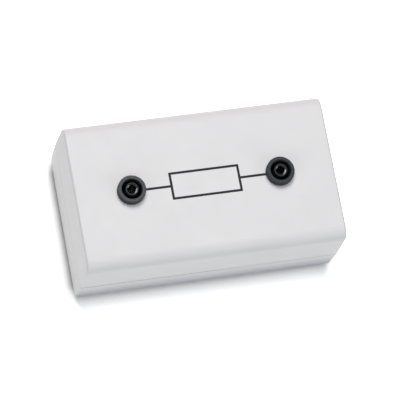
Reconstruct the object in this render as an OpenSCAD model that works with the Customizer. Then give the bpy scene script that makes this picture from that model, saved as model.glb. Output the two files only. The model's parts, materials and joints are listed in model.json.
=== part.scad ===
// A precision resistor for the laboratory bench, in a two-shell plastic housing.
// The resistor hangs by its leads between two 4 mm safety sockets in the top panel.
// The origin is on the bench, under the middle of the housing.
// X runs from the left socket to the right one, Y to the back and Z up.

/* [Housing] */
// Length of the housing at its seam
case_l = 131.2; // [120:0.1:180]
// Width of the housing at its seam
case_w = 75.2; // [62:0.1:120]
// Height of the lower shell
lower_h = 22.3; // [18:0.1:40]
// Height of the upper shell, from the seam to the panel
upper_h = 28.7; // [23.5:0.1:45]
// Thickness of the housing's walls
wall_t = 2.5; // [2.2:0.1:3]
// Thickness of the top panel that holds the sockets
panel_t = 3; // [2:0.1:4]
// Radius of the rounded long edges, above and below
edge_r = 6.4; // [4:0.1:7]
// Radius of the small rounding round the outline of each end
end_r = 1.2; // [0.9:0.1:2]
// Angle by which the walls lean inwards, away from the seam
draft = 1; // [0.5:0.1:1.5]

/* [Seam] */
// Height of the shadow line around the seam
groove_h = 0.35; // [0.2:0.05:0.6]
// Depth of the shadow line around the seam
groove_d = 0.5; // [0.3:0.05:0.8]
// Thickness of the lower shell's tongue
tongue_t = 1.1; // [0.8:0.05:1.2]
// Height of the tongue above the seam
tongue_h = 2; // [1.5:0.1:3]
// Clearance between the tongue and its rebate
tongue_gap = 0.15; // [0.1:0.05:0.25]

/* [Screws and feet] */
// Distance from a screw to the end of the housing
screw_inset_x = 8.6; // [8:0.1:10]
// Distance from a screw to the side of the housing
screw_inset_y = 10.6; // [10.5:0.1:13]
// Diameter of the screws
screw_d = 3; // [2.5:0.1:3.5]
// Length of a screw under its head
screw_l = 16; // [14:0.5:18]
// Length of a screw that holds in the upper shell
screw_bite = 8; // [6:0.5:9]
// Diameter of a screw's head
head_d = 5.6; // [5:0.1:6]
// Height of a screw's head
head_h = 2; // [1.6:0.1:2.4]
// Diameter of the rubber feet
foot_d = 10; // [8:0.5:12]
// Height of a rubber foot
foot_h = 2.2; // [2:0.1:3]
// Height that a foot stands out below the housing
foot_gap = 1; // [0.8:0.1:1.5]
// Distance from a foot to the end of the housing
foot_inset_x = 21.6; // [20:0.1:30]
// Distance from a foot to the side of the housing
foot_inset_y = 13.6; // [13:0.1:20]

/* [Sockets] */
// Distance between the two sockets
socket_pitch = 74.7; // [62:0.1:90]
// Bore that takes the plug's pin
plug_d = 4; // [3.3:0.05:4.8]
// Depth of the bore below the contact's mouth
plug_depth = 19; // [16:0.5:20]
// Wall of the metal contact around its bore
contact_wall = 0.7; // [0.5:0.05:0.9]
// Flat rim left round the bore's rounded mouth
mouth_rim = 0.1; // [0.05:0.05:0.3]
// Height of the insulating tube above the contact
contact_recess = 0.4; // [0.2:0.1:1]
// Wall of the insulating tube around the contact
tube_wall = 0.45; // [0.3:0.05:0.6]
// Height of the collar's top above the insulating tube
tube_recess = 0.2; // [0:0.1:1]
// Width of the ring-shaped well that takes the plug's shroud
well_w = 1.95; // [1.6:0.05:2.4]
// Depth of the well below the collar's top
well_depth = 22; // [18:0.5:24]
// Wall of the threaded barrel around the well
barrel_wall = 0.9; // [0.7:0.05:1.2]
// Thickness of the barrel's floor
barrel_floor = 3; // [2:0.1:4]
// Width of the collar's lip outside the barrel
collar_lip = 1; // [0.6:0.05:2]
// Height of the collar above the panel
collar_h = 3.9; // [1:0.1:5]
// Rounding of the collar's upper edge
collar_r = 0.8; // [0.3:0.1:0.9]
// Wall of the barrel's nut, from the barrel to a flat
nut_wall = 1.5; // [1.2:0.1:2.5]
// Height of the barrel's nut
nut_h = 4; // [3:0.5:5]
// Width of the lock washer outside the barrel
washer_rim = 2; // [1.6:0.1:3]
// Thickness of the lock washer
washer_t = 0.8; // [0.5:0.1:1.2]

/* [Terminals] */
// Diameter of the stud under a contact
stud_d = 4; // [3:0.5:4]
// Length of the stud
stud_l = 6; // [5:0.5:8]
// Width of the shoulder outside the contact
shoulder_lip = 1.3; // [1:0.1:2]
// Thickness of the shoulder
shoulder_h = 1.5; // [1:0.1:2]
// Wall of the stud's nut, from the stud to a flat
stud_nut_wall = 1.5; // [1.2:0.1:2]
// Height of the stud's nut
stud_nut_h = 3.2; // [2.4:0.1:4]
// Thickness of the solder tag
tag_t = 0.6; // [0.4:0.1:1]
// Width of the solder tag's tongue
tag_w = 3; // [2.5:0.1:4]
// Distance from the stud to the eye that takes the lead
tag_reach = 12; // [10:0.5:13]
// Diameter of the eye that takes the lead
eye_d = 1.2; // [1.1:0.1:1.6]

/* [Resistor] */
// Length of the ceramic core
core_l = 24; // [18:0.5:30]
// Diameter of the ceramic core
core_d = 6; // [4:0.1:8]
// Thickness of the resistive film on the core
film_t = 0.15; // [0.1:0.05:0.3]
// Length of core that an end cap covers
cap_l = 4; // [3:0.1:5]
// Wall of an end cap
cap_t = 0.3; // [0.2:0.05:0.5]
// Thickness of the lacquer over the end caps
coat_t = 0.6; // [0.4:0.1:1]
// Diameter of the leads
lead_d = 0.8; // [0.6:0.1:1]
// Radius of the bend where a lead turns up to its tag
lead_bend_r = 2; // [1.5:0.1:3]
// Height of the tags above the resistor's axis
lead_rise = 7; // [6:0.5:10]
// Length of lead that stands above the tag
lead_tail = 1.5; // [1:0.1:2]
// Outer diameter of the insulating sleeve on a lead
sleeve_d = 2; // [1.6:0.1:2.4]
// Clearance between the sleeve and its lead, all round
sleeve_gap = 0.05; // [0.05:0.05:0.15]
// Bare length of lead at each end of a sleeve
sleeve_bare = 1; // [0.5:0.1:2]

/* [Hidden] */
$fn = 96;

// Running past a face, so that a cut goes cleanly through it
past = 1;
// Radial clearance of a thread, and of a bolt in its hole
thread_gap = 0.05;
hole_gap = 0.1;
// Width of the chamfers on screws, nuts and feet
bevel = 0.3;
// How far a rounding bites into the faces beside it, so that it meets them in a clean line
edge_bite = 0.01;
// How much smaller the rounding along the top of an end is than the one round its corners
end_step = 0.1;

// Heights of the housing, from the bench up
seam_z = foot_gap + lower_h;
panel_z = seam_z + upper_h;
panel_under_z = panel_z - panel_t;

// Places of the columns and the feet
screw_x = case_l / 2 - screw_inset_x;
screw_y = case_w / 2 - screw_inset_y;
foot_x = case_l / 2 - foot_inset_x;
foot_y = case_w / 2 - foot_inset_y;

// Screw columns, with the clearances and walls around a screw and its head
screw_gap = 0.2;
head_gap = 0.4;
column_wall = 1.2;
boss_wall = 2.1;
bore_spare = 2;
web_t = 1.5;
web_drop = 1;
counterbore_d = head_d + 2 * head_gap;
column_d = counterbore_d + 2 * column_wall;
boss_d = screw_d + 2 * boss_wall;
head_seat_z = seam_z - (screw_l - screw_bite);
boss_bore_h = screw_bite + bore_spare;

// Diameters of a socket, from its bore outwards
contact_d = plug_d + 2 * contact_wall;
tube_d = contact_d + 2 * tube_wall;
well_d = tube_d + 2 * well_w;
barrel_d = well_d + 2 * barrel_wall;
collar_d = barrel_d + 2 * collar_lip;
nut_af = barrel_d + 2 * nut_wall;
washer_d = barrel_d + 2 * washer_rim;
shoulder_d = contact_d + 2 * shoulder_lip;
stud_nut_af = stud_d + 2 * stud_nut_wall;

// Heights of a socket, from its collar down
collar_z = panel_z + collar_h;
tube_z = collar_z - tube_recess;
contact_z = tube_z - contact_recess;
well_z = collar_z - well_depth;
barrel_z = well_z - barrel_floor;
shoulder_z = barrel_z - shoulder_h;
tag_z = shoulder_z - tag_t;

// The resistor's own sizes and its axis
axis_z = shoulder_z - lead_rise;
film_r = core_d / 2 + film_t;
cap_r = film_r + cap_t;
coat_r = cap_r + coat_t;
cap_end_x = core_l / 2 + cap_t;
coat_end_x = cap_end_x + coat_t;
coat_edge_r = 1;
eye_x = socket_pitch / 2 - tag_reach;
bend_x = eye_x - lead_bend_r;

// Outline of a shell seen square to one of its walls: sides that lean in, and rounded upper corners
module leaning_outline(base, height, r) {
    arc_x = base / 2 - (height - r) * tan(draft) - r / cos(draft);
    tangent_x = arc_x + r * cos(draft);
    tangent_z = height - r + r * sin(draft);
    polygon([
        [-base / 2, 0], [base / 2, 0], [tangent_x, tangent_z],
        [arc_x, height], [-arc_x, height], [-tangent_x, tangent_z]
    ]);
    for (side = [-1, 1])
        translate([side * arc_x, height - r]) circle(r);
}

// Block whose four walls lean in, its long edges rounded by long_r and its short ones by short_r
module leaning_block(length, width, height, long_r, short_r) {
    intersection() {
        rotate([90, 0, 90])
            linear_extrude(height = length + 2 * past, center = true)
                leaning_outline(width, height, long_r);
        rotate([90, 0, 0])
            linear_extrude(height = width + 2 * past, center = true)
                leaning_outline(length, height, short_r);
    }
}

// Section of what is cut away to round an edge, seen along the edge and drawn about the rounding's centre
module edge_cut(r) {
    difference() {
        square(2 * r);
        circle(r + edge_bite);
    }
}

// What is cut away to round the outline of both ends: one section that runs up each corner
// and on round the end of the long edge, with its flat sides parallel to the end wall
module end_cuts(length, width, height, long_r, r) {
    arc_z = height - long_r;
    arc_y = width / 2 - arc_z * tan(draft) - long_r / cos(draft);
    arc_x = length / 2 - arc_z * tan(draft) - r / cos(draft);
    for (x_side = [0, 1], y_side = [0, 1])
        mirror([x_side, 0, 0]) mirror([0, y_side, 0])
            translate([arc_x, arc_y, arc_z]) rotate([0, 90 - draft, 0]) rotate(90 + draft) {
                rotate([90, 0, 0])
                    linear_extrude(height = arc_z + past) translate([long_r - r, 0]) edge_cut(r);
                rotate_extrude(angle = 90 - draft) translate([long_r - r, 0]) edge_cut(r);
            }
}

// One shell, open at z = 0 and closed above by a wall of thickness close_t; its children stay in the hollow
module hollow_shell(height, close_t) {
    difference() {
        leaning_block(case_l, case_w, height, edge_r, end_r - end_step);
        end_cuts(case_l, case_w, height, edge_r, end_r);
        difference() {
            leaning_block(case_l - 2 * wall_t, case_w - 2 * wall_t, height - close_t,
                          edge_r - wall_t, end_r - end_step);
            children();
        }
    }
}

// Repeats its child at the four corners of a rectangle
module four_corners() {
    for (x_side = [0, 1], y_side = [0, 1])
        mirror([x_side, 0, 0]) mirror([0, y_side, 0]) children();
}

// A screw column with a web to the end wall and another to the side wall
module column_and_webs(d, height, web_from) {
    translate([screw_x, screw_y, 0]) cylinder(d = d, h = height);
    translate([screw_x, screw_y - web_t / 2, web_from])
        cube([screw_inset_x - wall_t / 2, web_t, height - web_from]);
    translate([screw_x - web_t / 2, screw_y, web_from])
        cube([web_t, screw_inset_y - wall_t / 2, height - web_from]);
}

// Flat rectangle with rounded corners, drawn about its middle
module rounded_rectangle(length, width, r) {
    square([length - 2 * r, width], center = true);
    square([length, width - 2 * r], center = true);
    for (x_side = [-1, 1], y_side = [-1, 1])
        translate([x_side * (length / 2 - r), y_side * (width / 2 - r)]) circle(r);
}

// Block of the housing's inner outline at the seam, grown by a margin
module seam_block(margin, height) {
    translate([0, 0, height / 2])
        cube([case_l - 2 * wall_t + 2 * margin, case_w - 2 * wall_t + 2 * margin, height], center = true);
}

module upper_shell() {
    color("whitesmoke") translate([0, 0, seam_z])
        difference() {
            hollow_shell(upper_h, panel_t)
                four_corners() column_and_webs(boss_d, upper_h, tongue_h + web_drop);
            // Rebate for the tongue
            difference() {
                translate([0, 0, -past])
                    seam_block(tongue_t + tongue_gap, tongue_h + tongue_gap + past);
                four_corners()
                    translate([screw_x, screw_y, 0]) cylinder(d = boss_d, h = upper_h);
            }
            for (side = [-1, 1])
                translate([side * socket_pitch / 2, 0, upper_h - panel_t - past])
                    cylinder(d = barrel_d + 2 * hole_gap, h = panel_t + 2 * past);
            four_corners()
                translate([screw_x, screw_y, -past])
                    cylinder(d = screw_d + 2 * thread_gap, h = boss_bore_h + past);
        }
}

module lower_shell() {
    color("gainsboro") {
        translate([0, 0, seam_z]) mirror([0, 0, 1])
            difference() {
                hollow_shell(lower_h, wall_t)
                    four_corners() column_and_webs(column_d, lower_h, web_drop);
                shadow_groove();
                four_corners() screw_cuts();
                four_corners()
                    translate([foot_x, foot_y, lower_h - (foot_h - foot_gap)])
                        cylinder(d = foot_d + 2 * hole_gap, h = foot_h);
            }
        // Tongue that keeps the shells in line
        difference() {
            translate([0, 0, seam_z - wall_t / 2]) seam_block(tongue_t, tongue_h + wall_t / 2);
            translate([0, 0, seam_z - wall_t]) seam_block(0, tongue_h + 2 * wall_t);
        }
    }
}

// Narrow step round the lower shell's rim, which shows as the dark line of the seam
module shadow_groove() {
    translate([0, 0, -past])
        linear_extrude(height = groove_h + past)
            difference() {
                square([case_l + 2 * past, case_w + 2 * past], center = true);
                rounded_rectangle(case_l - 2 * groove_d, case_w - 2 * groove_d, end_r - groove_d);
            }
}

// Screw hole and head recess of one column, with the seam at z = 0 and the floor above
module screw_cuts() {
    translate([screw_x, screw_y, 0]) {
        translate([0, 0, -past]) cylinder(d = screw_d + 2 * screw_gap, h = lower_h);
        translate([0, 0, screw_l - screw_bite]) cylinder(d = counterbore_d, h = lower_h);
    }
}

// Cross recess cut into a screw head, with its mouth at z = 0
module cross_recess() {
    arm_l = 0.55 * head_d;
    arm_w = 0.16 * head_d;
    for (turn = [0, 90])
        rotate(turn) cube([arm_l, arm_w, 1.2 * head_h], center = true);
}

module housing_screws() {
    color("silver")
        four_corners()
            translate([screw_x, screw_y, head_seat_z]) {
                cylinder(d = screw_d, h = screw_l - screw_d / 2);
                translate([0, 0, screw_l - screw_d / 2])
                    cylinder(d1 = screw_d, d2 = screw_d / 3, h = screw_d / 2);
                translate([0, 0, -head_h])
                    difference() {
                        union() {
                            cylinder(d1 = head_d - 2 * bevel, d2 = head_d, h = bevel);
                            translate([0, 0, bevel]) cylinder(d = head_d, h = head_h - bevel);
                        }
                        cross_recess();
                    }
            }
}

module rubber_feet() {
    color("dimgray")
        four_corners()
            translate([foot_x, foot_y, 0]) {
                cylinder(d1 = foot_d - 2 * bevel, d2 = foot_d, h = bevel);
                translate([0, 0, bevel]) cylinder(d = foot_d, h = foot_h - bevel);
            }
}

// Puts its children on the axis of the left socket (side 0) or the right one (side 1), facing the middle
module at_socket(side) {
    mirror([side, 0, 0]) translate([-socket_pitch / 2, 0, 0]) children();
}

module socket_body(side) {
    collar_radius = collar_d / 2;
    color("black") at_socket(side)
        difference() {
            union() {
                translate([0, 0, panel_z])
                    rotate_extrude() {
                        square([collar_radius - collar_r, collar_h]);
                        square([collar_radius, collar_h - collar_r]);
                        translate([collar_radius - collar_r, collar_h - collar_r]) circle(collar_r);
                    }
                translate([0, 0, barrel_z]) cylinder(d = barrel_d, h = panel_z - barrel_z + past / 2);
            }
            difference() {
                union() {
                    translate([0, 0, well_z]) cylinder(d = well_d, h = well_depth + past);
                    translate([0, 0, collar_z - bevel])
                        cylinder(d1 = well_d, d2 = well_d + 2 * bevel, h = bevel);
                }
                cylinder(d = tube_d, h = tube_z);
            }
            translate([0, 0, barrel_z - past]) cylinder(d = contact_d, h = collar_z - barrel_z + 2 * past);
        }
}

module socket_contact(side) {
    mouth_r = contact_wall - mouth_rim;
    color("goldenrod") at_socket(side)
        difference() {
            union() {
                translate([0, 0, shoulder_z - stud_l]) cylinder(d = stud_d, h = stud_l + past / 2);
                translate([0, 0, shoulder_z]) cylinder(d = shoulder_d, h = shoulder_h);
                translate([0, 0, shoulder_z]) cylinder(d = contact_d, h = contact_z - shoulder_z);
            }
            translate([0, 0, contact_z - plug_depth]) cylinder(d = plug_d, h = plug_depth + past);
            translate([0, 0, contact_z - mouth_r])
                rotate_extrude()
                    difference() {
                        square([plug_d / 2 + mouth_r, mouth_r + past]);
                        translate([plug_d / 2 + mouth_r, 0]) circle(mouth_r);
                    }
        }
}

// Internal-tooth washer that keeps the barrel's nut from turning back
module lock_washer(side) {
    tooth_count = 12;
    tooth_l = 1;
    color("silver") at_socket(side)
        translate([0, 0, panel_under_z - washer_t])
            difference() {
                cylinder(d = washer_d, h = washer_t);
                translate([0, 0, -past]) cylinder(d = barrel_d + 2 * hole_gap, h = washer_t + 2 * past);
                for (tooth = [0 : tooth_count - 1])
                    rotate(tooth * 360 / tooth_count)
                        translate([barrel_d / 2, 0, washer_t / 2])
                            cube([2 * tooth_l, tooth_l, washer_t + 2 * past], center = true);
            }
}

// Hexagon nut standing on z = 0, bevelled at both ends
module hex_nut(af, height, bore) {
    corner_radius = af / 2 / cos(30);
    difference() {
        intersection() {
            cylinder(r = corner_radius, h = height, $fn = 6);
            union() {
                cylinder(r1 = corner_radius - bevel, r2 = corner_radius, h = bevel);
                translate([0, 0, bevel]) cylinder(r = corner_radius, h = height - 2 * bevel);
                translate([0, 0, height - bevel])
                    cylinder(r1 = corner_radius, r2 = corner_radius - bevel, h = bevel);
            }
        }
        translate([0, 0, -past]) cylinder(d = bore, h = height + 2 * past);
    }
}

module barrel_nut(side) {
    color("dimgray") at_socket(side)
        translate([0, 0, panel_under_z - washer_t - nut_h])
            hex_nut(nut_af, nut_h, barrel_d + 2 * thread_gap);
}

module stud_nut(side) {
    color("silver") at_socket(side)
        translate([0, 0, tag_z - stud_nut_h])
            hex_nut(stud_nut_af, stud_nut_h, stud_d + 2 * thread_gap);
}

// Flat tag from the stud towards the middle, with an eye for the lead
module solder_tag(side) {
    color("silver") at_socket(side)
        translate([0, 0, tag_z])
            linear_extrude(height = tag_t)
                difference() {
                    union() {
                        circle(d = shoulder_d);
                        translate([0, -tag_w / 2]) square([tag_reach, tag_w]);
                        translate([tag_reach, 0]) circle(d = tag_w);
                    }
                    circle(d = stud_d + 2 * hole_gap);
                    translate([tag_reach, 0]) circle(d = eye_d);
                }
}

// Lies its children, drawn along +Z, along the resistor's axis towards the left or the right
module along_axis(side) {
    translate([0, 0, axis_z]) mirror([1 - side, 0, 0]) rotate([0, 90, 0]) children();
}

module resistor_core() {
    color("ivory") along_axis(1)
        cylinder(d = core_d, h = core_l, center = true);
}

module resistor_film() {
    color("saddlebrown") along_axis(1)
        difference() {
            cylinder(r = film_r, h = core_l, center = true);
            cylinder(d = core_d, h = core_l + 2 * past, center = true);
        }
}

module end_cap(side) {
    color("silver") along_axis(side)
        difference() {
            translate([0, 0, core_l / 2 - cap_l]) cylinder(r = cap_r, h = cap_l + cap_t);
            translate([0, 0, core_l / 2 - cap_l - past]) cylinder(r = film_r, h = cap_l + past);
        }
}

module resistor_coating() {
    color("steelblue") along_axis(1)
        difference() {
            rotate_extrude() {
                translate([0, -coat_end_x]) square([coat_r - coat_edge_r, 2 * coat_end_x]);
                translate([0, coat_edge_r - coat_end_x])
                    square([coat_r, 2 * (coat_end_x - coat_edge_r)]);
                for (end = [-1, 1])
                    translate([coat_r - coat_edge_r, end * (coat_end_x - coat_edge_r)])
                        circle(coat_edge_r);
            }
            cylinder(r = film_r, h = core_l, center = true);
            cylinder(d = lead_d, h = 2 * coat_end_x + past, center = true);
            for (end = [0, 1])
                mirror([0, 0, end])
                    translate([0, 0, core_l / 2 - cap_l]) cylinder(r = cap_r, h = cap_l + cap_t);
        }
}

// Lead from its end cap, along the axis and up through the eye of the tag
module lead(side) {
    top_z = shoulder_z + lead_tail;
    color("lightgray") mirror([1 - side, 0, 0]) {
        translate([cap_end_x, 0, axis_z]) rotate([0, 90, 0])
            cylinder(d = lead_d, h = bend_x - cap_end_x);
        translate([bend_x, 0, axis_z + lead_bend_r])
            rotate([90, 0, 0]) rotate(-90)
                rotate_extrude(angle = 90)
                    translate([lead_bend_r, 0]) circle(d = lead_d);
        translate([eye_x, 0, axis_z + lead_bend_r])
            cylinder(d = lead_d, h = top_z - axis_z - lead_bend_r);
    }
}

module lead_sleeve(side) {
    from_x = coat_end_x + sleeve_bare;
    color("antiquewhite") along_axis(side)
        translate([0, 0, from_x])
            difference() {
                cylinder(d = sleeve_d, h = bend_x - sleeve_bare - from_x);
                translate([0, 0, -past])
                    cylinder(d = lead_d + 2 * sleeve_gap, h = bend_x);
            }
}

// Solder that fills the eye and stands as a small cone on the tag
module solder_joint(side) {
    color("lightsteelblue") mirror([1 - side, 0, 0])
        translate([eye_x, 0, tag_z])
            difference() {
                union() {
                    cylinder(d = eye_d, h = 2 * tag_t);
                    translate([0, 0, tag_t])
                        cylinder(d1 = tag_w - 2 * bevel, d2 = lead_d + 2 * bevel, h = lead_d);
                }
                translate([0, 0, -past]) cylinder(d = lead_d, h = tag_t + lead_d + 2 * past);
            }
}

upper_shell();
lower_shell();
housing_screws();
rubber_feet();
socket_body(0);  // left_socket_body
socket_body(1);  // right_socket_body
socket_contact(0);  // left_socket_contact
socket_contact(1);  // right_socket_contact
lock_washer(0);  // left_lock_washer
lock_washer(1);  // right_lock_washer
barrel_nut(0);  // left_barrel_nut
barrel_nut(1);  // right_barrel_nut
solder_tag(0);  // left_solder_tag
solder_tag(1);  // right_solder_tag
stud_nut(0);  // left_stud_nut
stud_nut(1);  // right_stud_nut
resistor_core();
resistor_film();
end_cap(0);  // left_end_cap
end_cap(1);  // right_end_cap
resistor_coating();
lead(0);  // left_lead
lead(1);  // right_lead
lead_sleeve(0);  // left_lead_sleeve
lead_sleeve(1);  // right_lead_sleeve
solder_joint(0);  // left_solder_joint
solder_joint(1);  // right_solder_joint
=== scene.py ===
"""Looks of a precision resistor in a two-shell housing: materials, printed symbol, light and camera."""

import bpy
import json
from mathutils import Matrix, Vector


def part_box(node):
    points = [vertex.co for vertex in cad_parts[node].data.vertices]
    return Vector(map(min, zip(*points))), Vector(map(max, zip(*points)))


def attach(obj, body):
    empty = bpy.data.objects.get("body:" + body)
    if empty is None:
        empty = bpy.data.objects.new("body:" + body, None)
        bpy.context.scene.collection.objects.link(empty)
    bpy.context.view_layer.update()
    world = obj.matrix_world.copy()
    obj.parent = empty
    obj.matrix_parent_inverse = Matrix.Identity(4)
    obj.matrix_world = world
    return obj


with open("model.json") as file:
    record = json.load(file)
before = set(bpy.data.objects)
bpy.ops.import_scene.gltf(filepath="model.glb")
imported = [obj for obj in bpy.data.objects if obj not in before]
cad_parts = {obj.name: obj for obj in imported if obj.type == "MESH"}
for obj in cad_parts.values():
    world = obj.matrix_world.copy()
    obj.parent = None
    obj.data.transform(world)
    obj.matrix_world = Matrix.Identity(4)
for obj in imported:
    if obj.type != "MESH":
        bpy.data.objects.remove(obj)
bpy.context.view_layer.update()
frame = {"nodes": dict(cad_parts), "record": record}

import json
import math

import bmesh
import bpy
from mathutils import Matrix, Vector

MM = 0.001

# Places of the part that the looks refer to, in metres
panel_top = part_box("upper_shell")[1].z
seam_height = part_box("upper_shell")[0].z
half_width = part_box("upper_shell")[1].y
collar_low, collar_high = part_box("right_socket_body")
socket_x = (collar_low.x + collar_high.x) / 2
collar_radius = (collar_high.x - collar_low.x) / 2
collar_top = collar_high.z
well_radius = 5 * MM
bore_radius = 2 * MM
resistor_axis = (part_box("resistor_core")[0].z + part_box("resistor_core")[1].z) / 2

# Axes of one screw and one socket. The others are their mirror images
screw_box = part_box("housing_screws")
screw_head_radius = 2.8 * MM
screw_centre = (screw_box[1].x - screw_head_radius, screw_box[1].y - screw_head_radius)
contact_centre = (socket_x, 0.0)


# Node helpers

def add(tree, kind, inputs=None, **settings):
    """Adds a node. Inputs are values or the output sockets of other nodes."""
    node = tree.nodes.new(kind)
    for key, value in settings.items():
        setattr(node, key, value)
    for key, value in (inputs or {}).items():
        if isinstance(value, bpy.types.NodeSocket):
            tree.links.new(value, node.inputs[key])
        else:
            node.inputs[key].default_value = value
    return node


def math_node(tree, operation, *values):
    """Output of a Math node."""
    return add(tree, "ShaderNodeMath", dict(enumerate(values)), operation=operation).outputs[0]


def times(tree, first, second):
    """Product of two values."""
    return math_node(tree, "MULTIPLY", first, second)


def vector_math(tree, operation, *values):
    """Vector from a Vector Math node."""
    return add(tree, "ShaderNodeVectorMath", dict(enumerate(values)), operation=operation).outputs[0]


def length(tree, vector):
    """Length of a vector."""
    return add(tree, "ShaderNodeVectorMath", {0: vector}, operation="LENGTH").outputs["Value"]


def remap(tree, value, low, high, to_low=0.0, to_high=1.0, smooth=False):
    """Value from low..high to to_low..to_high, held at both ends."""
    inputs = {"Value": value, "From Min": low, "From Max": high, "To Min": to_low, "To Max": to_high}
    kind = "SMOOTHSTEP" if smooth else "LINEAR"
    return add(tree, "ShaderNodeMapRange", inputs, interpolation_type=kind).outputs[0]


def mix(tree, factor, first, second, blend="MIX"):
    """Colour between two colours, or between the first and another blend of both."""
    # A Mix node has sockets for every type of data, and these are the ones for colours
    factor_input, first_input, second_input, colour_output = 0, 6, 7, 2
    values = {factor_input: factor, first_input: first, second_input: second}
    inputs = {key: (*value, 1) if isinstance(value, tuple) else value for key, value in values.items()}
    node = add(tree, "ShaderNodeMix", inputs, data_type="RGBA", blend_type=blend)
    return node.outputs[colour_output]


def bump(tree, height, depth, strength=1.0):
    """Normal of a surface whose height runs from 0 to depth metres."""
    inputs = {"Height": height, "Distance": depth, "Strength": strength}
    return add(tree, "ShaderNodeBump", inputs).outputs[0]


# Patterns that the materials share

def position(tree):
    """Place on the part in metres. Every piece has its origin at the frame's origin."""
    return add(tree, "ShaderNodeTexCoord").outputs["Object"]


def coordinate(tree, axis):
    """One coordinate of the place on the part."""
    return add(tree, "ShaderNodeSeparateXYZ", {"Vector": position(tree)}).outputs[axis]


def noise(tree, size, detail=2.0, stretch=(1, 1, 1)):
    """Noise from 0 to 1 whose largest grains are about size metres across."""
    place = add(tree, "ShaderNodeMapping", {"Vector": position(tree), "Scale": stretch}).outputs[0]
    inputs = {"Vector": place, "Scale": 1 / size, "Detail": detail}
    return add(tree, "ShaderNodeTexNoise", inputs).outputs["Fac"]


def patches(tree, size, detail, low=0.0, high=1.0):
    """Noise with its contrast raised, from low to high."""
    return remap(tree, noise(tree, size, detail), 0.3, 0.7, low, high)


def distance_from_axes(tree, x, y=0.0):
    """Distance from the nearest of the upright axes at (x, y) and its mirror images."""
    across = math_node(tree, "SUBTRACT", math_node(tree, "ABSOLUTE", coordinate(tree, "X")), x)
    along = coordinate(tree, "Y")
    if y:
        along = math_node(tree, "SUBTRACT", math_node(tree, "ABSOLUTE", along), y)
    return length(tree, add(tree, "ShaderNodeCombineXYZ", {"X": across, "Y": along}).outputs[0])


def towards_angle(tree, x, angle, spread):
    """1 at an angle round the nearer of the axes at x and -x, falling to 0 a spread away, in degrees."""
    side = math_node(tree, "SIGN", coordinate(tree, "X"))
    across = math_node(tree, "SUBTRACT", coordinate(tree, "X"), times(tree, side, x))
    around = math_node(tree, "ARCTAN2", coordinate(tree, "Y"), across)
    turn = math_node(tree, "SUBTRACT", around, math.radians(angle))
    off = math_node(tree, "ABSOLUTE", math_node(tree, "WRAP", turn, math.pi, -math.pi))
    return remap(tree, off, math.radians(spread) / 2, math.radians(spread), 1, 0, smooth=True)


def turning_marks(tree, centre, spacing):
    """Ripple from 0 to 1 on surfaces turned about the axis at the centre and its mirror images."""
    travel = math_node(tree, "ADD", distance_from_axes(tree, *centre), coordinate(tree, "Z"))
    turns = times(tree, travel, 2 * math.pi / spacing)
    return remap(tree, math_node(tree, "SINE", turns), -1, 1)


def enclosure(tree, reach):
    """0 on open surfaces, rising to 1 where other surfaces within reach close in."""
    openness = add(tree, "ShaderNodeAmbientOcclusion", {"Distance": reach}).outputs["AO"]
    return math_node(tree, "SUBTRACT", 1.0, openness)


def facing(tree, axis):
    """1 on surfaces square to an axis of the part, falling to 0 on those along it."""
    normal = add(tree, "ShaderNodeNewGeometry").outputs["Normal"]
    part = add(tree, "ShaderNodeSeparateXYZ", {"Vector": normal}).outputs[axis]
    return math_node(tree, "ABSOLUTE", part)


# Materials

def new_material(name, **plain):
    """Material with one Principled shader, on which plain values are set."""
    material = bpy.data.materials.new(name)
    material.use_nodes = True
    shader = material.node_tree.nodes["Principled BSDF"]
    for key, value in plain.items():
        shader.inputs[key.replace("_", " ")].default_value = value
    return material, material.node_tree, shader


def drive(tree, shader, **sockets):
    """Links outputs to the shader's inputs."""
    for key, value in sockets.items():
        tree.links.new(value, shader.inputs[key.replace("_", " ")])


def near_seam(tree, inner, outer, strength=1.0):
    """Strength up to the height inner above or below the seam, falling to 0 at the height outer."""
    above = math_node(tree, "SUBTRACT", coordinate(tree, "Z"), seam_height)
    return remap(tree, math_node(tree, "ABSOLUTE", above), inner, outer, strength, 0, smooth=True)


def seam_darkening(tree):
    """Uneven darker band on both sides of the seam."""
    close = near_seam(tree, inner=0.25 * MM, outer=1.2 * MM, strength=0.3)
    return times(tree, close, patches(tree, 6 * MM, 3, 0.4, 1))


def seam_painted_shade(tree):
    """Painted shade along the seam of the long walls, strong on the left and faint on the right."""
    close = near_seam(tree, inner=0.1 * MM, outer=0.45 * MM)
    stronger_left = remap(tree, coordinate(tree, "X"), -2 * MM, 16 * MM, 0.9, 0.15, smooth=True)
    return times(tree, close, times(tree, stronger_left, facing(tree, "Y")))


def bench_shade(tree):
    """Soft shade low on the long walls, where the bench is near. It stays out of the screws' recesses."""
    reach = 24 * MM
    strength = 1.5
    deepest = 0.65
    off_middle = math_node(tree, "ABSOLUTE", coordinate(tree, "Y"))
    outermost = remap(tree, off_middle, half_width - 6.5 * MM, half_width - 3.5 * MM, 0, strength)
    long_wall = times(tree, facing(tree, "Y"), outermost)
    return math_node(tree, "MINIMUM", times(tree, enclosure(tree, reach), long_wall), deepest)


def end_rounding_shade(tree):
    """Painted shade on the small rounding between the ends and the panel or the underside, uneven in
    strength.
    """
    rounding = remap(tree, times(tree, facing(tree, "X"), facing(tree, "Z")), 0.12, 0.45)
    return times(tree, rounding, patches(tree, 6 * MM, 3, 0.65, 0.85))


def rubbed_spots(tree):
    """Streaks on the panel round the sockets, where plugs and fingers rub it."""
    reach = 6 * MM
    near = remap(tree, distance_from_axes(tree, socket_x), collar_radius, collar_radius + reach, 1, 0)
    streaks = remap(tree, noise(tree, 1.6 * MM, 4, (1, 3, 1)), 0.5, 0.7)
    return times(tree, near, streaks)


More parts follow.
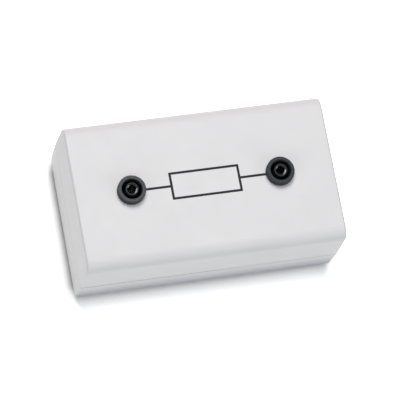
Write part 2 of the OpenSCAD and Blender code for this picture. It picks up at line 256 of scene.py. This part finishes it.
def housing_plastic():
    """Light grey moulded plastic with a fine eroded grain, specks, a darker band along the seam, painted
    shade in the seam's groove, low on the long walls and on the end roundings, and rubbed spots.
    """
    material, tree, shader = new_material("housing_plastic", IOR=1.5)
    colour = mix(tree, patches(tree, 24 * MM, 3), (0.735, 0.718, 0.728), (0.752, 0.737, 0.746))
    specks = remap(tree, noise(tree, 0.9 * MM, 4), 0.66, 0.74, 0, 0.10)
    colour = mix(tree, specks, colour, (0.55, 0.53, 0.52))
    colour = mix(tree, seam_darkening(tree), colour, (0.50, 0.48, 0.46))
    # Painted shade in the seam's groove, near black
    colour = mix(tree, seam_painted_shade(tree), colour, (0.10, 0.10, 0.11))
    # Painted shade: low on the long walls the colour turns dark and bluish, near the bench
    shade = mix(tree, bench_shade(tree), (1.0, 1.0, 1.0), (0.02, 0.08, 0.17))
    colour = mix(tree, 1.0, colour, shade, blend="MULTIPLY")
    # Painted shade on the small end roundings
    colour = mix(tree, end_rounding_shade(tree), colour, (0.55, 0.55, 0.56))
    gloss = times(tree, rubbed_spots(tree), 0.10)
    roughness = math_node(tree, "SUBTRACT", patches(tree, 7 * MM, 4, 0.50, 0.60), gloss)
    grain = bump(tree, noise(tree, 0.35 * MM, 3), 0.010 * MM, 0.5)
    drive(tree, shader, Base_Color=colour, Roughness=roughness, Normal=grain)
    return material


def socket_plastic():
    """Matt black plastic with faint dust traces. The collars' tops are lighter with dust and painted light,
    much more on the left socket.
    """
    material, tree, shader = new_material("socket_plastic", IOR=1.5, Specular_IOR_Level=0.25)
    # Painted light, with some dust: the collars' tops are lighter, much more on the left socket
    most_top_lightening = remap(tree, coordinate(tree, "X"), -socket_x, socket_x, 0.8, 0.17)
    off_axis = distance_from_axes(tree, socket_x)
    most_top_lightening = times(tree, most_top_lightening, remap(tree, off_axis, well_radius - 0.4 * MM, well_radius))
    height = coordinate(tree, "Z")
    top_dust_and_light = remap(tree, height, collar_top - 0.6 * MM, collar_top, 0, most_top_lightening, smooth=True)
    traces = remap(tree, noise(tree, 1.4 * MM, 5), 0.45, 0.75, 0, 0.2)
    dust_and_painted_light = math_node(tree, "ADD", traces, top_dust_and_light)
    colour = mix(tree, dust_and_painted_light, (0.018, 0.021, 0.026), (0.085, 0.090, 0.098))
    roughness = patches(tree, 0.8 * MM, 4, 0.62, 0.76)
    grain = bump(tree, noise(tree, 0.22 * MM, 3), 0.006 * MM, 0.5)
    drive(tree, shader, Base_Color=colour, Roughness=roughness, Normal=grain)
    return material


def scuffs(tree, low, high):
    """Roughness of handled metal, from low to high."""
    return remap(tree, noise(tree, 0.5 * MM, 5), 0.35, 0.75, low, high)


def turned_metal(name, dark, light, least_roughness, centre, spacing):
    """Bright metal with fine turning marks about the axis at the centre and its mirror images."""
    material, tree, shader = new_material(name, Metallic=1.0)
    colour = mix(tree, patches(tree, 1.1 * MM, 4), dark, light)
    ripple = turning_marks(tree, centre, spacing)
    scuff = scuffs(tree, least_roughness, least_roughness + 0.16)
    roughness = math_node(tree, "ADD", scuff, times(tree, ripple, 0.05))
    marks = bump(tree, ripple, 0.002 * MM, 0.6)
    drive(tree, shader, Base_Color=colour, Roughness=roughness, Normal=marks)
    return material


def painted_glints(tree):
    """Mask of the painted glints in the contacts' mouths: 1 on the front right and less on the back left."""
    off_axis = distance_from_axes(tree, socket_x)
    inner, outer = bore_radius + 0.15 * MM, bore_radius + 0.6 * MM
    in_mouth = remap(tree, off_axis, inner, outer, 1, 0, smooth=True)
    front_right = towards_angle(tree, socket_x, angle=-31, spread=44)
    back_left = times(tree, towards_angle(tree, socket_x, angle=137, spread=24), 0.7)
    return times(tree, in_mouth, math_node(tree, "ADD", front_right, back_left))


def contact_metal():
    """Nickel painted near black as shade in the mouth and bore, with painted glints on the front right and
    back left of the mouth, and clean inside the housing.
    """
    material, tree, shader = new_material("contact_metal", Metallic=1.0)
    patch = patches(tree, 1.1 * MM, 4)
    clean = mix(tree, patch, (0.60, 0.57, 0.52), (0.74, 0.71, 0.66))
    # Painted shade: near black in the mouth and down the bore
    dark = mix(tree, patch, (0.012, 0.012, 0.013), (0.024, 0.023, 0.022))
    # Painted glints: brighter patches on the front right and back left of the mouth
    glint_colour = mix(tree, patch, (0.34, 0.34, 0.34), (0.48, 0.48, 0.47))
    glint_mask = painted_glints(tree)
    outside = remap(tree, coordinate(tree, "Z"), panel_top - 20 * MM, panel_top - 14 * MM)
    colour = mix(tree, outside, clean, mix(tree, glint_mask, dark, glint_colour))
    scuff = scuffs(tree, 0.22, 0.36)
    roughness = math_node(tree, "ADD", scuff, times(tree, glint_mask, 0.3))
    marks = bump(tree, turning_marks(tree, contact_centre, 0.14 * MM), 0.002 * MM, 0.6)
    drive(tree, shader, Base_Color=colour, Roughness=roughness, Normal=marks)
    return material


def dipped_metal(name, dark, light, least_roughness, blotch):
    """Tinned or soldered metal: soft blotches of colour, shine and height."""
    material, tree, shader = new_material(name, Metallic=1.0)
    spot = noise(tree, blotch, 4)
    colour = mix(tree, remap(tree, spot, 0.3, 0.7), dark, light)
    roughness = patches(tree, 0.6 * blotch, 4, least_roughness, least_roughness + 0.18)
    waves = bump(tree, spot, 0.02 * MM, 0.4)
    drive(tree, shader, Base_Color=colour, Roughness=roughness, Normal=waves)
    return material


def matt_plastic(name, dark, light, roughness, grain_size):
    """Matt moulded plastic or rubber with a visible grain."""
    material, tree, shader = new_material(name, IOR=1.5)
    colour = mix(tree, patches(tree, 2.5 * MM, 4), dark, light)
    rough = patches(tree, 1.2 * MM, 3, roughness - 0.06, roughness + 0.06)
    grain = bump(tree, noise(tree, grain_size, 3), 0.02 * MM, 0.6)
    drive(tree, shader, Base_Color=colour, Roughness=rough, Normal=grain)
    return material


def fired_ceramic():
    """Unglazed white ceramic, slightly pitted."""
    material, tree, shader = new_material("fired_ceramic", IOR=1.6)
    pits = noise(tree, 0.3 * MM, 5)
    colour = mix(tree, remap(tree, pits, 0.35, 0.6), (0.70, 0.66, 0.58), (0.88, 0.85, 0.79))
    rough = remap(tree, pits, 0.3, 0.7, 0.85, 0.7)
    drive(tree, shader, Base_Color=colour, Roughness=rough, Normal=bump(tree, pits, 0.02 * MM, 0.6))
    return material


def spiral_cut(tree, pitch):
    """1 in a thin line that winds round the resistor, 0 beside it."""
    height = math_node(tree, "SUBTRACT", coordinate(tree, "Z"), resistor_axis)
    around = math_node(tree, "ARCTAN2", height, coordinate(tree, "Y"))
    along = math_node(tree, "DIVIDE", coordinate(tree, "X"), pitch)
    turns = math_node(tree, "ADD", along, math_node(tree, "DIVIDE", around, 2 * math.pi))
    off_line = math_node(tree, "SUBTRACT", math_node(tree, "FRACT", turns), 0.5)
    return remap(tree, math_node(tree, "ABSOLUTE", off_line), 0.06, 0.10, 1, 0)


def trimmed_film():
    """Dark resistive glaze with the fine spiral line that trims it to its value."""
    material, tree, shader = new_material("trimmed_film", IOR=1.8)
    cut = spiral_cut(tree, 1.1 * MM)
    glaze = mix(tree, noise(tree, 0.8 * MM, 4), (0.030, 0.022, 0.018), (0.060, 0.044, 0.036))
    colour = mix(tree, cut, glaze, (0.80, 0.77, 0.70))
    rough = remap(tree, cut, 0, 1, 0.25, 0.8)
    drive(tree, shader, Base_Color=colour, Roughness=rough, Normal=bump(tree, cut, -0.03 * MM))
    return material


def dipped_lacquer():
    """Blue lacquer over the resistor, with the slow waves that dipping leaves."""
    material, tree, shader = new_material("dipped_lacquer", IOR=1.5, Coat_Weight=0.5, Coat_Roughness=0.08)
    wave = noise(tree, 5 * MM, 2)
    colour = mix(tree, remap(tree, wave, 0.3, 0.7), (0.045, 0.135, 0.26), (0.070, 0.185, 0.33))
    rough = patches(tree, 1.5 * MM, 4, 0.22, 0.34)
    drive(tree, shader, Base_Color=colour, Roughness=rough, Normal=bump(tree, wave, 0.25 * MM, 0.5))
    return material


def screen_ink():
    """Black screen print: matt, a little thinner in places."""
    material, tree, shader = new_material("screen_ink", IOR=1.45, Specular_IOR_Level=0.2)
    cover = remap(tree, noise(tree, 0.5 * MM, 5), 0.35, 0.65)
    colour = mix(tree, cover, (0.022, 0.023, 0.026), (0.012, 0.013, 0.015))
    rough = patches(tree, 0.3 * MM, 3, 0.55, 0.7)
    grain = bump(tree, noise(tree, 0.2 * MM, 3), 0.01 * MM, 0.5)
    drive(tree, shader, Base_Color=colour, Roughness=rough, Normal=grain)
    return material


materials = {
    "housing": housing_plastic(),
    "socket_black": socket_plastic(),
    "contact_nickel": contact_metal(),
    "nut_nickel": turned_metal("nut_nickel", (0.58, 0.56, 0.52), (0.72, 0.70, 0.66),
                               least_roughness=0.24, centre=contact_centre, spacing=0.20 * MM),
    "screw_steel": turned_metal("zinc_plate", (0.50, 0.51, 0.54), (0.68, 0.67, 0.62),
                                least_roughness=0.26, centre=screw_centre, spacing=0.22 * MM),
    "washer_steel": turned_metal("spring_steel", (0.50, 0.50, 0.51), (0.63, 0.63, 0.62),
                                 least_roughness=0.30, centre=contact_centre, spacing=0.30 * MM),
    "tag_tin": dipped_metal("hot_tin", (0.62, 0.62, 0.61), (0.76, 0.76, 0.75),
                            least_roughness=0.24, blotch=1.2 * MM),
    "lead_tin": dipped_metal("tinned_copper", (0.60, 0.59, 0.57), (0.76, 0.75, 0.73),
                             least_roughness=0.22, blotch=0.7 * MM),
    "cap_steel": dipped_metal("cap_tin", (0.56, 0.56, 0.55), (0.70, 0.70, 0.69),
                              least_roughness=0.28, blotch=1.0 * MM),
    "solder": dipped_metal("bright_solder", (0.60, 0.61, 0.62), (0.78, 0.79, 0.80),
                           least_roughness=0.12, blotch=0.6 * MM),
    "nut_black": matt_plastic("nut_plastic", (0.018, 0.018, 0.019), (0.030, 0.030, 0.031),
                              roughness=0.48, grain_size=0.3 * MM),
    "foot_rubber": matt_plastic("foot_rubber", (0.020, 0.020, 0.020), (0.042, 0.041, 0.040),
                                roughness=0.80, grain_size=0.25 * MM),
    "sleeve_plastic": matt_plastic("sleeve_plastic", (0.78, 0.75, 0.68), (0.86, 0.84, 0.78),
                                   roughness=0.42, grain_size=0.4 * MM),
    "core_ceramic": fired_ceramic(),
    "film_oxide": trimmed_film(),
    "coating_lacquer": dipped_lacquer(),
}

for row in frame["record"]["subparts"]:
    for slot in frame["nodes"][row["node"]].material_slots:
        slot.material = materials[row["material_slot"]]


# Printed symbol: a rectangle with a line to each socket, as one thin layer of ink

ink_line = 1.2 * MM
ink_sink = 0.005 * MM
ink_proud = 0.025 * MM
symbol_half_length = 17.05 * MM
symbol_half_width = 6.39 * MM
outer_corner = 0.35 * MM
inner_corner = 0.12 * MM
# The print lies a little off the panel's middle in the photo
symbol_shift = Vector((-0.05, -0.14, 0)) * MM


def rounded_corner(x, y, radius, steps=5):
    """Points of a rounded corner at (x, y) of a rectangle about the origin, drawn anticlockwise."""
    side_x, side_y = math.copysign(1, x), math.copysign(1, y)
    centre = (x - side_x * radius, y - side_y * radius)
    start = math.atan2(side_y, side_x) - math.pi / 4
    angles = [start + math.pi / 2 * step / steps for step in range(steps + 1)]
    return [(centre[0] + radius * math.cos(a), centre[1] + radius * math.sin(a)) for a in angles]


def symbol_outlines():
    """Outer and inner outline of the printed line, whose ends run under the collars."""
    half = ink_line / 2
    x, y = symbol_half_length + half, symbol_half_width + half
    end = socket_x - collar_radius + half
    outer = [
        *rounded_corner(-x, -y, outer_corner), *rounded_corner(x, -y, outer_corner),
        (x, -half), (end, -half), (end, half), (x, half),
        *rounded_corner(x, y, outer_corner), *rounded_corner(-x, y, outer_corner),
        (-x, half), (-end, half), (-end, -half), (-x, -half),
    ]
    x, y = symbol_half_length - half, symbol_half_width - half
    corners = [(-x, -y), (x, -y), (x, y), (-x, y)]
    inner = [point for corner in corners for point in rounded_corner(*corner, inner_corner)]
    return outer, inner


def corners_and_faces(shape):
    """Corners and faces of a bmesh. Its own order of faces changes from run to run, and this one doesn't."""
    shape.verts.index_update()
    corners = [vert.co.copy() for vert in shape.verts]
    faces = []
    for face in shape.faces:
        numbers = [vert.index for vert in face.verts]
        first = numbers.index(min(numbers))
        faces.append(numbers[first:] + numbers[:first])
    return corners, sorted(faces)


def symbol_layer():
    """Corners and faces of the closed layer of ink, on the panel."""
    shape = bmesh.new()
    edges = []
    for outline in symbol_outlines():
        loop = [shape.verts.new((x, y, panel_top - ink_sink)) for x, y in outline]
        edges += [shape.edges.new((a, b)) for a, b in zip(loop, loop[1:] + loop[:1])]
    filled = bmesh.ops.triangle_fill(shape, use_beauty=True, edges=edges)
    faces = [face for face in filled["geom"] if isinstance(face, bmesh.types.BMFace)]
    raised = bmesh.ops.extrude_face_region(shape, geom=faces, use_keep_orig=True)
    top = [vert for vert in raised["geom"] if isinstance(vert, bmesh.types.BMVert)]
    bmesh.ops.translate(shape, verts=top, vec=(0, 0, ink_sink + ink_proud))
    bmesh.ops.recalc_face_normals(shape, faces=shape.faces)
    corners, faces = corners_and_faces(shape)
    shape.free()
    return corners, faces


def printed_symbol():
    """Mesh of the printed line."""
    corners, faces = symbol_layer()
    mesh = bpy.data.meshes.new("printed_symbol")
    mesh.from_pydata(corners, [], faces)
    mesh.transform(Matrix.Translation(symbol_shift))
    mesh.materials.append(screen_ink())
    piece = bpy.data.objects.new("printed_symbol", mesh)
    bpy.context.scene.collection.objects.link(piece)
    return piece


symbol = printed_symbol()
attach(symbol, "root")


# Floor, light and camera

def shows_background(tree):
    """1 where the camera, a mirror or a glass looks at the surface, and 0 where it lights the object."""
    path = add(tree, "ShaderNodeLightPath")
    seen = math_node(tree, "ADD", path.outputs["Is Camera Ray"], path.outputs["Is Glossy Ray"])
    seen = math_node(tree, "ADD", seen, path.outputs["Is Transmission Ray"])
    return math_node(tree, "MINIMUM", seen, 1.0)


def distance_beyond(tree, low, high, scale):
    """Distance on the floor beyond the rectangle between two corners, with a scale along each axis."""
    middle, half = (low + high) / 2, (high - low) / 2
    offset = vector_math(tree, "ABSOLUTE", vector_math(tree, "SUBTRACT", position(tree), middle))
    beyond = vector_math(tree, "MAXIMUM", vector_math(tree, "SUBTRACT", offset, half), (0, 0, 0))
    return length(tree, vector_math(tree, "MULTIPLY", beyond, scale))


def distance_from_base(tree):
    """Distance on the floor from a rectangle some way inside the base, counted longer to the sides."""
    low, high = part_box("lower_shell")
    inset = Vector((4.65, 9.1, 0)) * MM
    side_scale = 1.15
    low, high = Vector((low.x, low.y, 0)) + inset, Vector((high.x, high.y, 0)) - inset
    return distance_beyond(tree, low, high, (side_scale, 1, 0))


def floor_white():
    """White, with a painted shadow that darkens its colour near the base, and lifted to pure white for the
    camera where the floor is open.
    """
    material = bpy.data.materials.new("floor")
    material.use_nodes = True
    tree = material.node_tree
    tree.nodes.clear()
    away = distance_from_base(tree)
    shaded_reach = 10 * MM
    clear = remap(tree, away, 0, shaded_reach, smooth=True)
    # Painted shadow: the floor's colour falls to dark grey near the base
    colour = mix(tree, clear, (0.10, 0.10, 0.10), (0.97, 0.96, 0.95))
    diffuse = add(tree, "ShaderNodeBsdfDiffuse", {"Color": colour}).outputs[0]
    most_lift = 0.56
    lift = remap(tree, away, 5 * MM, 14 * MM, 0, most_lift)
    strength = times(tree, shows_background(tree), lift)
    glow = add(tree, "ShaderNodeEmission", {"Color": (1, 1, 1, 1), "Strength": strength}).outputs[0]
    surface = add(tree, "ShaderNodeAddShader", {0: diffuse, 1: glow}).outputs[0]
    add(tree, "ShaderNodeOutputMaterial", {"Surface": surface})
    return material


def pale_floor(half_size=3.0):
    """Level square that the part stands on, which is not part of the model."""
    mesh = bpy.data.meshes.new("floor")
    corners = [(-half_size, -half_size, 0), (half_size, -half_size, 0),
               (half_size, half_size, 0), (-half_size, half_size, 0)]
    mesh.from_pydata(corners, [], [(0, 1, 2, 3)])
    mesh.materials.append(floor_white())
    floor = bpy.data.objects.new("floor", mesh)
    bpy.context.scene.collection.objects.link(floor)


def white_world(level=0.05):
    """Even white light from all round, at this level, behind which the background shows as white."""
    world = bpy.data.worlds.new("studio")
    world.use_nodes = True
    tree = world.node_tree
    tree.nodes.clear()
    strength = remap(tree, shows_background(tree), 0, 1, level, 1.0)
    light = add(tree, "ShaderNodeBackground", {"Color": (1, 1, 1, 1), "Strength": strength}).outputs[0]
    add(tree, "ShaderNodeOutputWorld", {"Surface": light})
    bpy.context.scene.world = world


def direction(azimuth, elevation):
    """Unit vector from the part towards a place round it. Azimuth 0 is in front and 90 to the right."""
    flat = math.cos(elevation)
    return Vector((math.sin(azimuth) * flat, -math.cos(azimuth) * flat, math.sin(elevation)))


def soft_box(name, azimuth, elevation, size, power, colour=(1.0, 1.0, 1.0), distance=2.2):
    """Square area lamp that faces the part."""
    lamp = bpy.data.lights.new(name, "AREA")
    lamp.size = size
    lamp.energy = power
    lamp.color = colour
    holder = bpy.data.objects.new(name, lamp)
    towards = direction(math.radians(azimuth), math.radians(elevation))
    holder.location = towards * distance
    holder.rotation_mode = "QUATERNION"
    holder.rotation_quaternion = towards.to_track_quat("Z", "Y")
    bpy.context.scene.collection.objects.link(holder)


def place_camera(azimuth, elevation, roll, aim, distance, lens):
    """Camera that looks at aim; roll turns it about its own axis, in degrees."""
    camera = bpy.data.cameras.new("camera")
    camera.sensor_width = 36
    camera.lens = lens
    camera.clip_start = 0.01
    camera.clip_end = 20
    azimuth, roll = math.radians(azimuth), math.radians(roll)
    back = direction(azimuth, math.radians(elevation))
    level_right = Vector((math.cos(azimuth), math.sin(azimuth), 0))
    level_up = back.cross(level_right)
    right = math.cos(roll) * level_right + math.sin(roll) * level_up
    holder = bpy.data.objects.new("camera", camera)
    turn = Matrix((right, back.cross(right), back)).transposed()
    holder.matrix_world = Matrix.Translation(aim + back * distance) @ turn.to_4x4()
    bpy.context.scene.collection.objects.link(holder)
    bpy.context.scene.camera = holder


pale_floor()
white_world()
cool_white = (0.93, 0.985, 1.0)
soft_box("key", azimuth=184, elevation=61, size=1.1, power=23.8)
soft_box("ceiling", azimuth=180, elevation=80, size=1.3, power=16.5)
soft_box("left_fill", azimuth=-48, elevation=17, size=1.9, power=18.3, colour=cool_white)
soft_box("right_fill", azimuth=45, elevation=17, size=1.9, power=16.9, colour=cool_white)
place_camera(azimuth=-37.306, elevation=70.172, roll=28.296, aim=Vector((1.185, -1.463, 26)) * MM,
             distance=1453.6 * MM, lens=263.36)
bpy.context.scene.view_settings.view_transform = "Standard"
